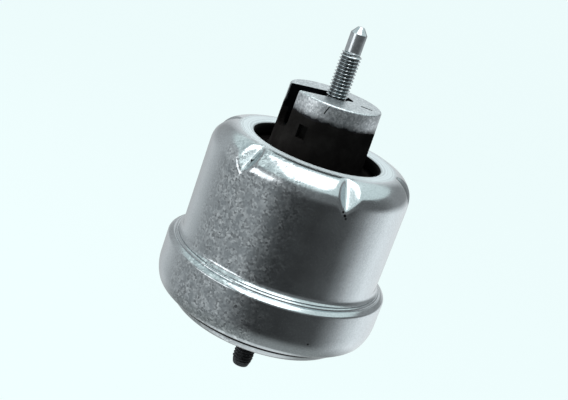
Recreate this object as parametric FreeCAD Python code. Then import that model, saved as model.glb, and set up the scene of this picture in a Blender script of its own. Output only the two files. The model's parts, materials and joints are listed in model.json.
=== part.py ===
"""Hydraulic engine mount, modelled in millimetres.

A drawn steel housing with a wider band at its foot holds a rubber spring, and the spring carries a
slotted cast aluminium core with a threaded stud. Below the spring lie a channel body, a decoupler, a
bellows and a pressed cover with the lower stud, all clamped by the lip that is crimped under the cover.

Frame: +Z is the mount's axis, up through the core. The origin is the centre of the flat seat under the
cover, where the mount stands on its bracket. The slot in the core opens towards -X.
"""
import FreeCAD, Part
import math
import os

# Housing, drawn from one steel blank
housing_wall = 2.5
can_top = 72.0
shoulder_radius = 9.0
top_land = 2.2
side_travel = 6.15
curl_radius = 3.2
lip_drop = 4.4
band_step = 4.5
step_slope = 35.0
step_round = 2.6
band_corner_round = 1.2
crease_width = 0.7
crease_depth = 0.3
skirt_lean = 24.0
skirt_lean_height = 5.5
skirt_round = 15.6
crimp_round = 4.0
crimp_reach = 5.6

# Darts pressed into the shoulder
dart_count = 6
dart_angle = 21.6
dart_slope = 20.0
dart_valley_round = 1.6
dart_top_inset = 6.9
dart_length_down = 11.8

# Cast core
head_radius = 17.6
head_rise = 20.1
head_draft = 1.2
head_edge_round = 0.7
slot_width = 8.7
slot_offset = 1.65
slot_depth = 15.0
slot_reach = 7.0
slot_corner = 2.5
bare_head_height = 7.0
rebound_gap = 3.2
flange_overlap = 1.9
core_flange_height = 4.5
core_flange_round = 1.8
cone_top_radius = 17.5
cone_tip_radius = 11.5
cone_length = 15.0
cone_tip_round = 2.5
fill_bore_radius = 1.5
ball_radius = 3.0
ball_bore_depth = 8.0
ball_cover = 2.0

# Studs, both with the same metric thread
thread_radius = 4.0
thread_runout = 0.9
top_thread_length = 17.2
pilot_radius = 3.08
pilot_length = 6.9
pilot_point_length = 2.5
pilot_point_radius = 1.15
stud_embedment = 22.0
shank_radius = 3.6
bore_chamfer = 0.7
bottom_stud_length = 20.6
bottom_point_length = 3.0
bottom_point_radius = 3.0
stud_head_radius = 9.0
stud_head_height = 3.5
stud_neck_radius = 4.6

# Rubber spring
jacket_wall = 2.3
jacket_spread = 0.35
jacket_foot_round = 4.0
bumper_rubber = 3.0
bumper_round = 2.2
pocket_width = 3.0
pocket_height = 5.0
pocket_depth = 1.2
pocket_angle = 208.0
pocket_drop = 3.1
mouth_round = 3.0
waist_radius = 23.5
waist_round = 1.4
coat_rubber = 2.0
spring_lip = 1.5
dome_land = 2.0

# Bonded ring of the spring
ring_wall = 2.0
ring_clearance = 0.5
ring_flange = 2.5
ring_collar_height = 15.6
ring_bend_round = 1.5
stack_clearance = 0.2
clamp_inset = 1.2

# Channel body, its plate and the decoupler
body_height = 7.4
plate_thickness = 1.5
channel_land = 7.3
channel_width = 8.0
channel_depth = 5.0
channel_sweep = 300.0
port_sweep = 20.0
grid_radius = 14.0
grid_thickness = 2.2
grid_recess_radius = 18.0
grid_slots = 6
grid_rib = 2.4
grid_hub_radius = 5.0
grid_eye_radius = 2.4
decoupler_radius = 15.6
decoupler_rim = 1.6
decoupler_clearance = 0.5
decoupler_height = 3.4

# Bellows and its ring
bellows_wall = 1.6
bellows_ring_height = 2.3
bellows_ring_width = 1.8
bellows_roll_depth = 5.0
bellows_bead_width = 2.6
bellows_side_gap = 1.4
bellows_roll_width = 6.0
bellows_fold_width = 5.5
bellows_crown_gap = 1.0
bellows_dish = 1.6

# Pressed cover
cover_wall = 2.0
cover_depth = 8.7
cover_round = 8.6
cover_grip = 1.6
cover_bend_round = 0.4
cover_fit = 0.2
vent_radius = 1.5
vent_place = 22.0

# Radii, from the core out to the band
opening_radius = head_radius + jacket_spread + side_travel
can_radius = opening_radius + curl_radius + top_land + shoulder_radius
band_radius = can_radius + band_step
band_bore = band_radius - housing_wall
can_bore = can_radius - housing_wall
clamp_radius = band_bore - clamp_inset
crimp_lip_radius = band_radius - crimp_reach
cover_flange_radius = crimp_lip_radius + cover_grip
channel_outer_radius = clamp_radius - channel_land
channel_inner_radius = channel_outer_radius - channel_width
core_flange_radius = opening_radius + flange_overlap
neck_radius = head_radius - jacket_wall
bumper_radius = core_flange_radius + bumper_rubber

# Heights of the clamped stack, from the lip up
cover_flange_top = cover_depth + cover_wall
plate_bottom = cover_flange_top + bellows_ring_height
body_bottom = plate_bottom + plate_thickness
body_top = body_bottom + body_height
ring_top = body_top + ring_flange

# Heights of the core, from the can's top
head_top = can_top + head_rise
bare_head_bottom = head_top - bare_head_height
slot_floor = head_top - slot_depth
bumper_top = can_top - housing_wall - rebound_gap
flange_top = bumper_top - bumper_rubber
flange_bottom = flange_top - core_flange_height
cone_tip = flange_bottom - cone_length

Z_AXIS = FreeCAD.Vector(0, 0, 1)
ORIGIN = FreeCAD.Vector(0, 0, 0)
BEYOND = 200.0


def point(r, z):
    return FreeCAD.Vector(r, 0, z)


def outline(corners):
    """Closed wire in the XZ plane through corners (r, z) or (r, z, round)."""
    spots = [point(c[0], c[1]) for c in corners]
    rounds = [c[2] if len(c) > 2 else 0.0 for c in corners]
    count = len(spots)
    arrive, leave, arcs = [], [], []
    for i, spot in enumerate(spots):
        before = (spot - spots[i - 1]).normalize()
        after = (spots[(i + 1) % count] - spot).normalize()
        turn = before.getAngle(after)
        if rounds[i] < 1e-6 or turn < 1e-6:
            arrive.append(spot)
            leave.append(spot)
            arcs.append(None)
            continue
        cut = rounds[i] * math.tan(turn / 2)
        inward = (after - before).normalize()
        middle = spot + inward * (rounds[i] / math.cos(turn / 2) - rounds[i])
        arrive.append(spot - before * cut)
        leave.append(spot + after * cut)
        arcs.append(Part.Arc(arrive[i], middle, leave[i]).toShape())
    edges = []
    for i in range(count):
        if arcs[i]:
            edges.append(arcs[i])
        start, end = leave[i], arrive[(i + 1) % count]
        if start.distanceToPoint(end) > 1e-6:
            edges.append(Part.makeLine(start, end))
    return Part.Wire(edges)


def turned(corners):
    """Solid of revolution about Z from an outline."""
    return Part.Face(outline(corners)).revolve(ORIGIN, Z_AXIS, 360)


def beside(path, wall, side):
    """The path of (r, z, round) moved sideways by a wall: side 1 is left of its direction, -1 right."""
    spots = [point(c[0], c[1]) for c in path]
    rounds = [c[2] if len(c) > 2 else 0.0 for c in path]
    ways = [(b - a).normalize() for a, b in zip(spots, spots[1:])]
    normals = [FreeCAD.Vector(-w.z, 0, w.x) * side for w in ways]
    moved = [(spots[0] + normals[0] * wall, 0.0)]
    for i in range(1, len(spots) - 1):
        first, second = normals[i - 1], normals[i]
        spot = spots[i] + (first + second) * (wall / (1 + first.dot(second)))
        cross = ways[i - 1].x * ways[i].z - ways[i - 1].z * ways[i].x
        inside = side if cross > 0 else -side
        moved.append((spot, max(rounds[i] - inside * wall, 0.0)))
    moved.append((spots[-1] + normals[-1] * wall, 0.0))
    return [(spot.x, spot.z, rounding) for spot, rounding in moved]


def sheet(path, wall, side):
    """Corners of a wall of even thickness along a path."""
    return list(path) + beside(path, wall, side)[::-1]


def box(x0, x1, y0, y1, z0, z1):
    return Part.makeBox(x1 - x0, y1 - y0, z1 - z0, FreeCAD.Vector(x0, y0, z0))


def cylinder(radius, z0, z1, x=0.0, y=0.0):
    return Part.makeCylinder(radius, z1 - z0, FreeCAD.Vector(x, y, z0))


def turned_to(shape, degrees):
    copy = shape.copy()
    copy.rotate(ORIGIN, Z_AXIS, degrees)
    return copy


def sector(inner, outer, z0, z1, start, sweep):
    """Part of a flat ring between two angles."""
    face = Part.Face(outline([(inner, z0), (outer, z0), (outer, z1), (inner, z1)]))
    return turned_to(face.revolve(ORIGIN, Z_AXIS, sweep), start)


def housing_path():
    """Outside of the housing, from the edge of the opening down to the edge of the crimped lip."""
    slope = math.radians(step_slope)
    fall = math.tan(slope)
    cone_r = clamp_radius + housing_wall * math.sin(slope)
    cone_z = ring_top + housing_wall * math.cos(slope)
    lip_bottom = cover_depth - housing_wall
    lean_top = lip_bottom + skirt_lean_height
    lean_in = skirt_lean_height * math.tan(math.radians(skirt_lean))
    return [
        (opening_radius, can_top - lip_drop),
        (opening_radius, can_top, curl_radius),
        (can_radius, can_top, shoulder_radius),
        (can_radius, cone_z + (cone_r - can_radius) * fall, step_round),
        (band_radius, cone_z - (band_radius - cone_r) * fall, band_corner_round),
        (band_radius, lean_top, skirt_round),
        (band_radius - lean_in, lip_bottom, crimp_round),
        (crimp_lip_radius, lip_bottom),
    ]


def filled(path):
    """Solid that fills a housing path in to the axis."""
    bottom, top = path[-1][1], path[0][1]
    return turned([(0, top)] + list(path) + [(0, bottom)])


def dart_tool(depth):
    """V-shaped tool for one dart, with its valley moved inwards by depth."""
    valley_top = FreeCAD.Vector(can_radius - dart_top_inset, 0, can_top)
    valley_bottom = FreeCAD.Vector(can_radius, 0, can_top - dart_length_down)
    along = (valley_bottom - valley_top).normalize()
    outward = FreeCAD.Vector(-along.z, 0, along.x)
    across = FreeCAD.Vector(0, 1, 0)
    slope = math.radians(dart_slope)
    reach = shoulder_radius * 2
    base = valley_top - along * reach - outward * (depth / math.cos(slope))
    rise = reach * math.tan(slope)
    radius = dart_valley_round + depth
    flat = radius * math.sin(slope)
    lift = flat * math.tan(slope)
    bottom = radius / math.cos(slope) - radius
    near = base + across * flat + outward * lift
    far = base - across * flat + outward * lift
    arc = Part.Arc(far, base + outward * bottom, near).toShape()
    corner = base + across * reach + outward * rise
    opposite = base - across * reach + outward * rise
    lid = outward * reach
    edges = [arc, Part.makeLine(near, corner), Part.makeLine(corner, corner + lid),
             Part.makeLine(corner + lid, opposite + lid), Part.makeLine(opposite + lid, opposite),
             Part.makeLine(opposite, far)]
    length = (valley_bottom - valley_top).Length + reach * 2
    return Part.Face(Part.Wire(edges)).extrude(along * length)


def darts(depth):
    tool = dart_tool(depth)
    step = 360.0 / dart_count
    tools = [turned_to(tool, dart_angle + i * step) for i in range(dart_count)]
    return Part.makeCompound(tools)


def step_crease():
    """Shallow groove where the rounding of the step meets its slope."""
    corner = housing_path()[3]
    slope = math.radians(step_slope)
    cut = step_round * math.tan((math.pi / 2 - slope) / 2)
    r = corner[0] + (cut + crease_width / 2) * math.cos(slope)
    z = corner[1] - (cut + crease_width / 2) * math.sin(slope)
    half_r, half_z = crease_width / 2 * math.cos(slope), crease_width / 2 * math.sin(slope)
    deep_r, deep_z = crease_depth * math.sin(slope), crease_depth * math.cos(slope)
    return turned([(r - half_r, z + half_z), (r - deep_r, z - deep_z), (r + half_r, z - half_z),
                   (r + deep_r, z + deep_z)])


def housing_hollow():
    """Everything inside the housing's wall, without the ways out at its two ends."""
    return filled(beside(housing_path(), housing_wall, -1))


def housing():
    """The blank's outside and its hollow both carry the darts, so the wall keeps its thickness."""
    shell = filled(housing_path()).cut(darts(0.0))
    hollow = housing_hollow().cut(darts(housing_wall))
    opening = cylinder(opening_radius, can_top - lip_drop - housing_wall, can_top + housing_wall)
    mouth = cylinder(crimp_lip_radius, 0, cover_depth)
    for tool in (hollow, opening, mouth, step_crease()):
        shell = shell.cut(tool)
    return shell


def core():
    draft = bare_head_height * math.tan(math.radians(head_draft))
    blank = turned([
        (0, head_top), (head_radius - draft, head_top, head_edge_round),
        (head_radius, bare_head_bottom), (neck_radius, bare_head_bottom),
        (neck_radius, flange_top, jacket_wall), (core_flange_radius, flange_top, core_flange_round),
        (core_flange_radius, flange_bottom, core_flange_round), (cone_top_radius, flange_bottom, core_flange_round),
        (cone_tip_radius, cone_tip, cone_tip_round), (0, cone_tip)])
    ball_top = cone_tip + ball_bore_depth
    stud_end = head_top - stud_embedment
    countersink = turned([(0, head_top - bore_chamfer), (shank_radius, head_top - bore_chamfer),
                          (shank_radius + bore_chamfer, head_top), (shank_radius + bore_chamfer, head_top + 1),
                          (0, head_top + 1)])
    tools = [slot_tool(), cylinder(shank_radius, stud_end, head_top + 1), countersink,
             cylinder(fill_bore_radius, ball_top - 1, stud_end + 1), cylinder(ball_radius, cone_tip - 1, ball_top)]
    for tool in tools:
        blank = blank.cut(tool)
    return blank


def slot_block():
    return box(-head_radius * 2, slot_reach, slot_offset - slot_width / 2, slot_offset + slot_width / 2,
               slot_floor, head_top + 1)


def slot_tool():
    """Slot of the core, open towards -X and round in plan at its blind end."""
    block = slot_block()
    corners = [edge for edge in block.Edges
               if all(abs(vertex.X - slot_reach) < 1e-6 for vertex in edge.Vertexes)
               and abs(edge.Vertexes[0].Z - edge.Vertexes[-1].Z) > 1]
    return block.makeFillet(slot_corner, corners)


def top_stud():
    pilot_end = head_top + top_thread_length + pilot_length
    return turned([
        (0, head_top - stud_embedment), (shank_radius, head_top - stud_embedment), (shank_radius, head_top),
        (thread_radius, head_top), (thread_radius, head_top + top_thread_length - thread_runout),
        (pilot_radius, head_top + top_thread_length), (pilot_radius, pilot_end),
        (pilot_point_radius, pilot_end + pilot_point_length, 0.4), (0, pilot_end + pilot_point_length)])


def fill_ball():
    return Part.makeSphere(ball_radius, FreeCAD.Vector(0, 0, cone_tip + ball_cover + ball_radius))


def spring_ring():
    collar_out = can_bore - ring_clearance
    collar_in = collar_out - ring_wall
    ring = turned([
        (collar_in, body_top), (band_bore - stack_clearance, body_top),
        (band_bore - stack_clearance, ring_top), (collar_out, ring_top, ring_bend_round),
        (collar_out, ring_top + ring_collar_height), (collar_in, ring_top + ring_collar_height)])
    return ring.common(housing_hollow())


def main_spring():
    collar_out = can_bore - ring_clearance
    collar_in = collar_out - ring_wall
    collar_top = ring_top + ring_collar_height
    waist = flange_bottom - bumper_rubber
    rubber = turned([
        (ball_radius, cone_tip), (neck_radius, slot_floor), (neck_radius, bare_head_bottom),
        (head_radius, bare_head_bottom),
        (head_radius + jacket_spread, bumper_top, jacket_foot_round), (bumper_radius, bumper_top, bumper_round),
        (bumper_radius, waist, bumper_round), (waist_radius, waist, waist_round),
        (collar_out - spring_lip, collar_top + spring_lip, spring_lip / 2),
        (collar_out, collar_top + spring_lip / 2), (collar_out, collar_top), (collar_in, collar_top),
        (collar_in, body_top), (collar_in - dome_land, body_top),
        (collar_in - dome_land * 2, body_top + dome_land, dome_land),
        (cone_tip_radius + coat_rubber, cone_tip - coat_rubber / 2, coat_rubber * 2),
        (ball_radius, cone_tip - coat_rubber)])
    for tool in (core(), mouth_tool(), pocket_tool()):
        rubber = rubber.cut(tool)
    return rubber


def mouth_tool():
    """The slot's way out through the jacket, with round corners at its floor."""
    block = slot_block()
    floor = [edge for edge in block.Edges
             if all(abs(vertex.Z - slot_floor) < 1e-6 for vertex in edge.Vertexes)
             and abs(edge.Vertexes[0].X - edge.Vertexes[-1].X) > 1]
    return block.makeFillet(mouth_round, floor)


def pocket_tool():
    """Small locating pocket that the mould leaves in the jacket."""
    top = bare_head_bottom - pocket_drop
    floor = head_radius + jacket_spread - pocket_depth
    pocket = box(floor, bumper_radius, -pocket_width / 2, pocket_width / 2, top - pocket_height, top)
    return turned_to(pocket, pocket_angle)


def grid(z0, z1):
    """Openings of the grid over the decoupler: an eye and a ring of slots."""
    slot = sector(grid_hub_radius, grid_radius, z0, z1, 0, 360.0 / grid_slots)
    rib = box(0, BEYOND, -grid_rib / 2, grid_rib / 2, z0 - 1, z1 + 1)
    slot = slot.cut(rib).cut(turned_to(rib, 360.0 / grid_slots))
    tools = [turned_to(slot, i * 360.0 / grid_slots) for i in range(grid_slots)]
    return Part.makeCompound(tools + [cylinder(grid_eye_radius, z0, z1)])


def channel_body():
    radius = band_bore - stack_clearance
    disc = cylinder(radius, body_bottom, body_top)
    groove = sector(channel_inner_radius, channel_outer_radius, body_bottom - 1, body_bottom + channel_depth,
                    0, channel_sweep)
    port = sector(channel_inner_radius, channel_outer_radius, body_bottom, body_top + 1, 0, port_sweep)
    pocket = cylinder(decoupler_radius, body_bottom - 1, body_bottom + decoupler_height)
    recess = cylinder(grid_recess_radius, body_bottom + decoupler_height + grid_thickness, body_top + 1)
    for tool in (groove, port, pocket, recess, grid(body_bottom, body_top)):
        disc = disc.cut(tool)
    return disc


def channel_plate():
    radius = band_bore - stack_clearance
    disc = cylinder(radius, plate_bottom, body_bottom).common(housing_hollow())
    port = sector(channel_inner_radius, channel_outer_radius, plate_bottom - 1, body_bottom + 1,
                  channel_sweep - port_sweep, port_sweep)
    return disc.cut(port).cut(grid(plate_bottom - 1, body_bottom + 1))


def decoupler():
    low, high = body_bottom, body_bottom + decoupler_height
    web = decoupler_clearance
    rim = decoupler_radius - decoupler_rim
    return turned([(0, low + web), (rim - web, low + web), (rim, low), (decoupler_radius, low),
                   (decoupler_radius, high), (rim, high), (rim - web, high - web), (0, high - web)])


def bellows_ring_outside():
    return cover_flange_radius + cover_fit * 2


def bellows_ring():
    outside = bellows_ring_outside()
    return turned([(outside - bellows_ring_width, cover_flange_top), (outside, cover_flange_top),
                   (outside, plate_bottom), (outside - bellows_ring_width, plate_bottom)])


def bellows():
    bead_out = bellows_ring_outside() - bellows_ring_width
    bead_in = bead_out - bellows_bead_width
    low = cover_flange_top - bellows_roll_depth + bellows_wall
    high = plate_bottom - bellows_crown_gap
    side = bead_in - bellows_side_gap
    roll_out = side - bellows_side_gap
    roll_in = roll_out - bellows_roll_width
    fold = roll_in - bellows_fold_width
    bend = bellows_wall * 1.5
    wall = turned(sheet([
        (0, high - bellows_dish), (stud_head_radius, high - bellows_dish, bend), (fold, high, bend),
        (roll_in, low, bend), (roll_out, low, bend), (side, cover_flange_top + bellows_wall / 4, bend),
        (bead_in + bellows_wall / 2, plate_bottom - bellows_wall / 4)], bellows_wall, -1))
    bead = turned([(bead_in, cover_flange_top), (bead_out, cover_flange_top), (bead_out, plate_bottom),
                   (bead_in, plate_bottom)])
    return bead.fuse(wall).removeSplitter()


def bottom_cover():
    wall_radius = crimp_lip_radius - cover_fit
    pressed = turned(sheet([
        (stud_neck_radius, 0), (wall_radius, 0, cover_round), (wall_radius, cover_depth, cover_bend_round),
        (cover_flange_radius, cover_depth)], cover_wall, 1))
    vent = cylinder(vent_radius, -1, cover_wall + 1, 0, vent_place)
    return pressed.cut(vent).common(housing_hollow().fuse(cylinder(wall_radius, -1, cover_depth)))


def bottom_stud():
    return turned([
        (0, cover_wall + stud_head_height), (stud_head_radius, cover_wall + stud_head_height, 1.0),
        (stud_head_radius, cover_wall), (stud_neck_radius, cover_wall), (stud_neck_radius, 0),
        (thread_radius, 0), (thread_radius, bottom_point_length - bottom_stud_length),
        (bottom_point_radius, -bottom_stud_length, 0.5), (0, -bottom_stud_length)])


PIECES = {
    "housing": housing,
    "core": core,
    "top_stud": top_stud,
    "fill_ball": fill_ball,
    "main_spring": main_spring,
    "spring_ring": spring_ring,
    "channel_body": channel_body,
    "channel_plate": channel_plate,
    "decoupler": decoupler,
    "bellows_ring": bellows_ring,
    "bellows": bellows,
    "bottom_cover": bottom_cover,
    "bottom_stud": bottom_stud,
}

os.makedirs("parts", exist_ok=True)
for name, make in PIECES.items():
    shape = make()
    solid = shape.Solids[0] if len(shape.Solids) == 1 else shape
    solid.exportStep("parts/" + name + ".step")
    bounds = solid.BoundBox
    print(name, "solids", len(shape.Solids), "valid", shape.isValid(), "volume", round(shape.Volume),
          "z", round(bounds.ZMin, 2), round(bounds.ZMax, 2), "x", round(bounds.XMax, 2))
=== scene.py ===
# %% [markdown]
# A hydraulic engine mount: a steel can with pressed darts, a slotted cast core, a rubber spring and two
# studs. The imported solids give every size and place. This lesson turns the visible ones into finely
# modelled pieces, gives each its finish, and leaves the pieces sealed inside the can as they are, with a
# finish of their own. The part's frame is metres, +Z up the mount's axis, with the origin at the centre
# of its seat.

# %% Load the frame and note its box
import json
import math

import bmesh
import bpy
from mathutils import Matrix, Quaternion, Vector, noise


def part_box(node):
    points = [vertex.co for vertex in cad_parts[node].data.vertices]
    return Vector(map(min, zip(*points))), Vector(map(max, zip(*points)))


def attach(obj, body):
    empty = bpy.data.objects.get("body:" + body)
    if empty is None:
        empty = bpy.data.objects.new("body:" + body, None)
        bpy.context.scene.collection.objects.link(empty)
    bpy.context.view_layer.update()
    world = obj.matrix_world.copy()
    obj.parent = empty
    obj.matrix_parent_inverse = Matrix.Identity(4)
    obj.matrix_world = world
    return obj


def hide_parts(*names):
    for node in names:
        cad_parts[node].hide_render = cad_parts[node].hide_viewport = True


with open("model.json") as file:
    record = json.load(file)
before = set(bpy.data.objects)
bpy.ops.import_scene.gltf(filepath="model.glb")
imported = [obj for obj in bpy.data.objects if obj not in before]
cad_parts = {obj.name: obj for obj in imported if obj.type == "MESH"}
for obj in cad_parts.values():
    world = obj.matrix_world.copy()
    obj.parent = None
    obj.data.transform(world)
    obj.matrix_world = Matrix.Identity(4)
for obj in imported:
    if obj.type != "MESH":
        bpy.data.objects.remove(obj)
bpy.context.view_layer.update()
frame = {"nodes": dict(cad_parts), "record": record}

nodes = frame["nodes"]
MM = 0.001
print("nodes in the frame:", len(nodes))

# %% [markdown]
# All the pieces here are round, so half of a section describes each of them. It is a short list of
# corners (radius, height, rounding) in millimetres, as on a drawing, and the roundings are walked as
# arcs. A pressed sheet has a second side, which is the same list of corners moved over by the wall.

# %% Section helpers
def rounded(corners, pace):
    """Points along the corners, with an arc at each rounding and none further apart than the pace."""
    walk = []
    for i, corner in enumerate(corners):
        here = Vector(corner[:2])
        bend = corner[2] if len(corner) > 2 else 0.0
        if bend == 0.0:
            walk.append(here)
            continue
        back = (Vector(corners[i - 1][:2]) - here).normalized()
        ahead = (Vector(corners[i + 1][:2]) - here).normalized()
        half = back.angle(ahead) / 2
        centre = here + (back + ahead).normalized() * bend / math.sin(half)
        first = here + back * bend / math.tan(half) - centre
        last = here + ahead * bend / math.tan(half) - centre
        sweep = math.pi - 2 * half
        steps = max(4, math.ceil(sweep * bend / pace))
        for step in range(steps + 1):
            share = step / steps
            spoke = first * math.sin((1 - share) * sweep) + last * math.sin(share * sweep)
            walk.append(centre + spoke / math.sin(sweep))
    filled = walk[:1]
    for point in walk[1:]:
        run = point - filled[-1]
        parts = max(1, math.ceil(run.length / pace - 1e-6))
        start = filled[-1]
        filled += [start + run * k / parts for k in range(1, parts + 1)]
    return filled


def beside(corners, wall):
    """The corners moved by a wall to the right of their direction, roundings with them."""
    spots = [Vector(c[:2]) for c in corners]
    rounds = [c[2] if len(c) > 2 else 0.0 for c in corners]
    ways = [(b - a).normalized() for a, b in zip(spots, spots[1:])]
    sides = [Vector((way.y, -way.x)) for way in ways]
    moved = [(*(spots[0] + sides[0] * wall), 0.0)]
    for i in range(1, len(spots) - 1):
        spot = spots[i] + (sides[i - 1] + sides[i]) * (wall / (1 + sides[i - 1].dot(sides[i])))
        turn = ways[i - 1].x * ways[i].y - ways[i - 1].y * ways[i].x
        moved.append((*spot, max(rounds[i] + wall * math.copysign(1, turn), 0.0)))
    moved.append((*(spots[-1] + sides[-1] * wall), 0.0))
    return moved


# %% [markdown]
# A turned piece starts as a plane that is merged to one point. Extruding the point again and again draws
# the section, and spin sweeps it about Z, as a wood turner would see it. The last ring lands on the
# first, so the doubles are merged, and then the normals are worked out afresh so that the faces point
# outwards. An operator acts on all that is selected, so everything is deselected before a piece is
# started.

# %% Turning helpers
MERGE_GAP = 2e-6


def edit(mode="SELECT"):
    """Opens the active piece in edit mode, with all its points selected or, with DESELECT, none."""
    bpy.ops.object.mode_set(mode="EDIT")
    bpy.ops.mesh.select_mode(type="VERT")
    bpy.ops.mesh.select_all(action=mode)


def leave():
    bpy.ops.object.mode_set(mode="OBJECT")


def turned(name, points, around):
    """A piece spun from points in millimetres. A closed section ends where it starts."""
    bpy.ops.object.select_all(action="DESELECT")
    bpy.ops.mesh.primitive_plane_add(size=MM, location=(0, 0, 0))
    piece = bpy.context.object
    piece.name = piece.data.name = name
    edit()
    bpy.ops.mesh.merge(type="CENTER")
    bpy.ops.transform.translate(value=(points[0].x * MM, 0, points[0].y * MM))
    for here, there in zip(points, points[1:]):
        step = (there - here) * MM
        bpy.ops.mesh.extrude_region_move(TRANSFORM_OT_translate={"value": (step.x, 0, step.y)})
    bpy.ops.mesh.select_all(action="SELECT")
    bpy.ops.mesh.spin(steps=around, angle=math.tau, center=(0, 0, 0), axis=(0, 0, 1))
    bpy.ops.mesh.select_all(action="SELECT")
    bpy.ops.mesh.remove_doubles(threshold=MERGE_GAP)
    bpy.ops.mesh.normals_make_consistent(inside=False)
    leave()
    print(name, "turned from", len(points), "points in", around, "steps")
    return piece


def smooth(piece, degrees):
    """Shades the piece smooth, and keeps the edges sharper than the angle."""
    bpy.ops.object.select_all(action="DESELECT")
    piece.select_set(True)
    bpy.context.view_layer.objects.active = piece
    bpy.ops.object.shade_smooth_by_angle(angle=math.radians(degrees))


# %% [markdown]
# Slots, pockets and vents are openings with crisp rims. Each is cut by a tool piece and a boolean that is
# applied at once. A box is the usual tool. Where the real cutter or mould leaves a corner round, the
# box's own edges get a bevel first, which is safer than a bevel on the cut piece with its many edges.

# %% Cutting helpers
BEVEL_STEPS, NEAR = 10, 0.01


def carve(piece, tool):
    """Cuts the tool out of the piece, and removes the tool."""
    cut = piece.modifiers.new("cut", "BOOLEAN")
    cut.operation = "DIFFERENCE"
    cut.solver = "EXACT"
    cut.object = tool
    bpy.context.view_layer.objects.active = piece
    bpy.ops.object.modifier_apply(modifier=cut.name)
    bpy.data.objects.remove(tool)


def block(low, high):
    """A box between two corners in millimetres, with its place in its mesh."""
    bpy.ops.object.select_all(action="DESELECT")
    bpy.ops.mesh.primitive_cube_add(size=1, location=(0, 0, 0))
    tool = bpy.context.object
    size = [(b - a) * MM for a, b in zip(low, high)]
    middle = [(a + b) / 2 * MM for a, b in zip(low, high)]
    edit()
    bpy.ops.transform.resize(value=size)
    bpy.ops.transform.translate(value=middle)
    leave()
    return tool


def swing(degrees, axis, centre=(0, 0, 0)):
    """Turns the active piece in its mesh. With no window, rotate turns the other way: hence the minus."""
    edit()
    bpy.ops.transform.rotate(value=-math.radians(degrees), orient_axis=axis, center_override=centre)
    leave()


def round_edges(tool, wanted, along, bend):
    """Bevels the edges whose two ends pass the test and that run along the axis 0, 1 or 2."""
    edit("DESELECT")
    bpy.ops.mesh.select_mode(type="EDGE")
    mesh = bmesh.from_edit_mesh(tool.data)
    for edge in mesh.edges:
        first, last = (vertex.co / MM for vertex in edge.verts)
        edge.select_set(wanted(first) and wanted(last) and abs(first[along] - last[along]) > NEAR)
    mesh.select_flush_mode()
    bmesh.update_edit_mesh(tool.data)
    bpy.ops.mesh.bevel(offset=bend * MM, segments=BEVEL_STEPS)
    leave()


# %% [markdown]
# The can is drawn from one steel sheet. Its radii and heights repeat the solid's own: the rolled-in
# opening, the shoulder, the long cylinder, the step and the band that is crimped under the cover. The
# list of corners is the outer side, from the opening down to the lip.

# %% Sizes of the can, in millimetres
SHEET = 2.5
CAN_R, CAN_TOP, SHOULDER = 38.5, 72.0, 9.0
OPENING_R, CURL, LIP_DROP = 24.1, 2.2, 4.4
BAND_R, STEP_SLOPE, STEP_ROUND, BAND_CORNER = 43.0, 35.0, 2.6, 1.2
CLAMP_R, RING_TOP = 39.3, 24.4
LIP_BOTTOM, LIP_R, LIP_ROUND = 6.2, 37.4, 0.5
LEAN, LEAN_HEIGHT, SKIRT_ROUND, CRIMP_ROUND = 24.0, 5.5, 15.6, 4.0


def can_outside():
    slope = math.radians(STEP_SLOPE)
    cone_r = CLAMP_R + SHEET * math.sin(slope)
    cone_z = RING_TOP + SHEET * math.cos(slope)
    lean_in = LEAN_HEIGHT * math.tan(math.radians(LEAN))
    return [
        (OPENING_R, CAN_TOP - LIP_DROP), (OPENING_R, CAN_TOP, CURL), (CAN_R, CAN_TOP, SHOULDER),
        (CAN_R, cone_z + (cone_r - CAN_R) * math.tan(slope), STEP_ROUND),
        (BAND_R, cone_z - (BAND_R - cone_r) * math.tan(slope), BAND_CORNER),
        (BAND_R, LIP_BOTTOM + LEAN_HEIGHT, SKIRT_ROUND), (BAND_R - lean_in, LIP_BOTTOM, CRIMP_ROUND),
        (LIP_R, LIP_BOTTOM)]


# %% [markdown]
# The press leaves two fine creases below the fillet of the step. They are too slight for the solids, so
# they are added to the section here: a shallow notch of three corners for each, laid on the slope of the
# step.

# %% Creases below the step
CREASES, CREASE_WIDTH, CREASE_DEPTH = (0.15, 1.5), 0.6, 0.3


def creased(corners, step=3):
    """The corners with the creases after the one that has the fillet of the step."""
    slope = math.radians(STEP_SLOPE)
    down = Vector((math.cos(slope), -math.sin(slope)))
    out = Vector((math.sin(slope), math.cos(slope)))
    foot = Vector(corners[step][:2]) + down * STEP_ROUND * math.tan((math.pi / 2 - slope) / 2)
    folds = []
    for place in CREASES:
        middle = foot + down * place
        half = down * CREASE_WIDTH / 2
        folds += [tuple(middle - half), tuple(middle - out * CREASE_DEPTH), tuple(middle + half)]
    return corners[:step + 1] + folds + corners[step + 1:]


# %% [markdown]
# The six darts are pressed in by a V-shaped die. A boolean cut would leave knife edges, so the dense skin
# is moved instead: a point that lies outside the die's face sinks onto it, and a smooth minimum rounds
# the rim as bent sheet does. The inner wall follows a die that stands one sheet thickness further in.

# %% Press the darts
DARTS, DART_ANGLE, DART_SLOPE = 6, 22.2, 34.0
DART_INSET, DART_DOWN, DART_ROUND, DART_EDGE = 8.3, 10.6, 1.0, 0.8
DART_REACH, DART_MARGIN = 1.6, 1.0


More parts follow.
